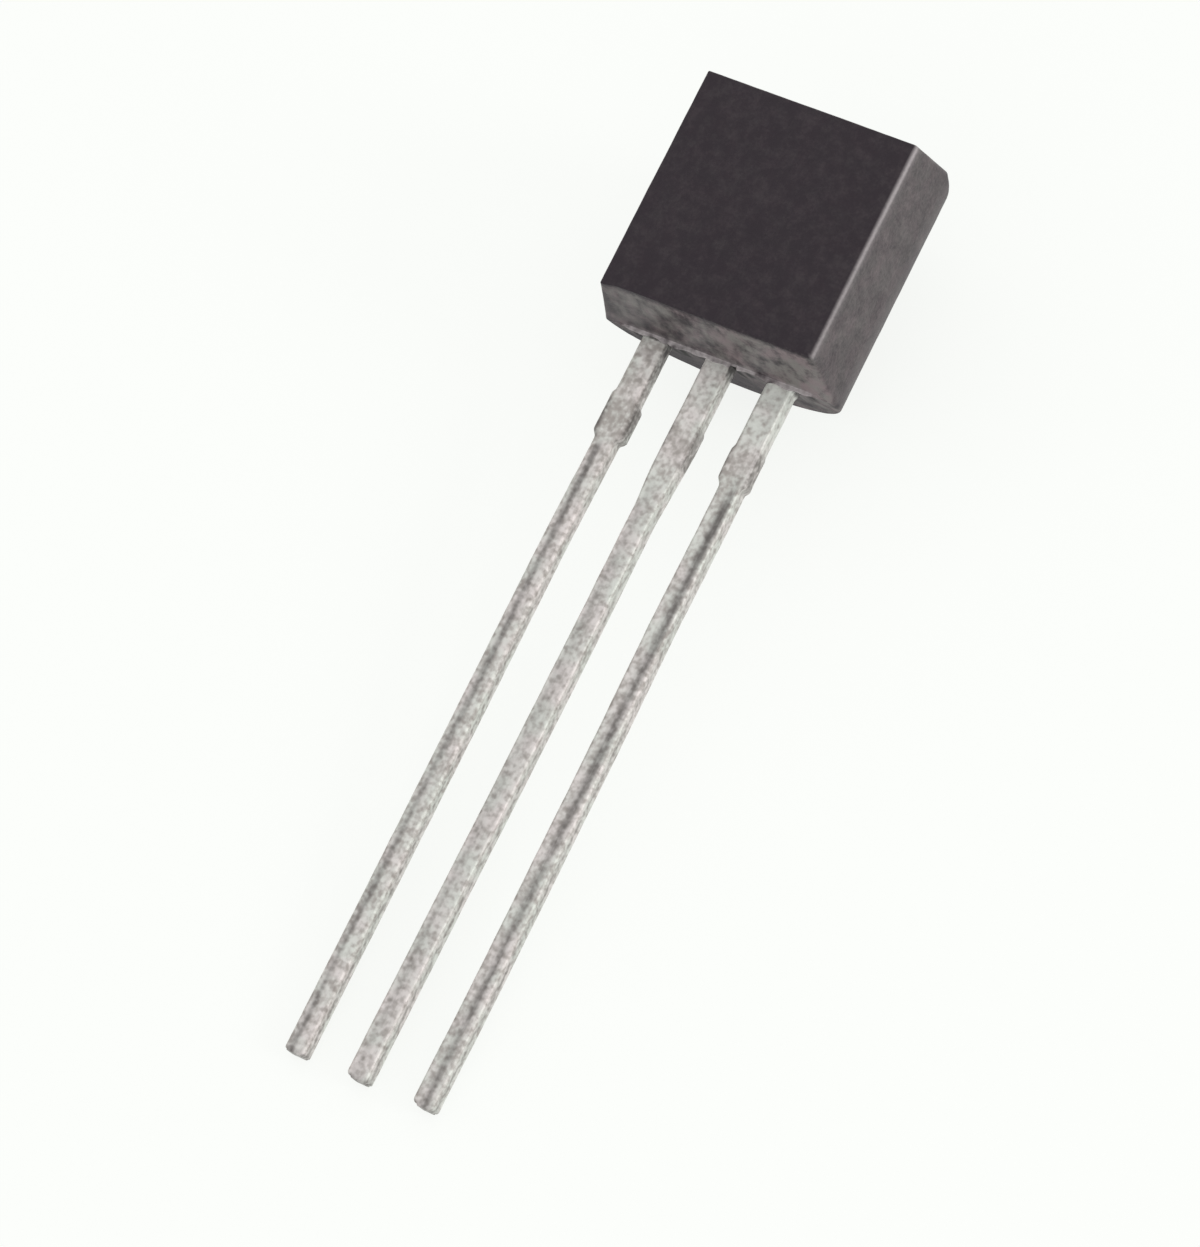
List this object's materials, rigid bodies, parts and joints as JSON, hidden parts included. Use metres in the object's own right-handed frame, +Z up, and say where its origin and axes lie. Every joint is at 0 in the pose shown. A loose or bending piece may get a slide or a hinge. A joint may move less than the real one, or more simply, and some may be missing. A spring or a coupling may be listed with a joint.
{
  "type": "to-92 transistor",
  "caption": "Small-signal transistor: a black half-round moulded body with a flat face and a row of tinned leads with dam-bar stubs.",
  "frame": {"origin": "centre of the bounding box's base, on the surface that the part lies on", "axes": "+X along the row of leads, from the emitter lead to the collector lead; +Y from the lead tips towards the body; +Z up, with the flat face on top"},
  "size_m": [0.0046, 0.0184, 0.0042],
  "materials": {
    "moulding_compound": "fine matt moulded epoxy",
    "tinned_lead": "satin tin plating with drawn streaks",
    "silicon": "polished wafer",
    "die_solder": "dull",
    "gold_wire": "bright drawn wire"
  },
  "bodies": {
    "root": {"mould_body": "moulding_compound", "emitter_lead": "tinned_lead", "base_lead": "tinned_lead", "collector_lead": "tinned_lead", "silicon_die": "silicon", "die_attach": "die_solder", "emitter_wire": "gold_wire", "base_wire": "gold_wire"}
  },
  "joints": []
}
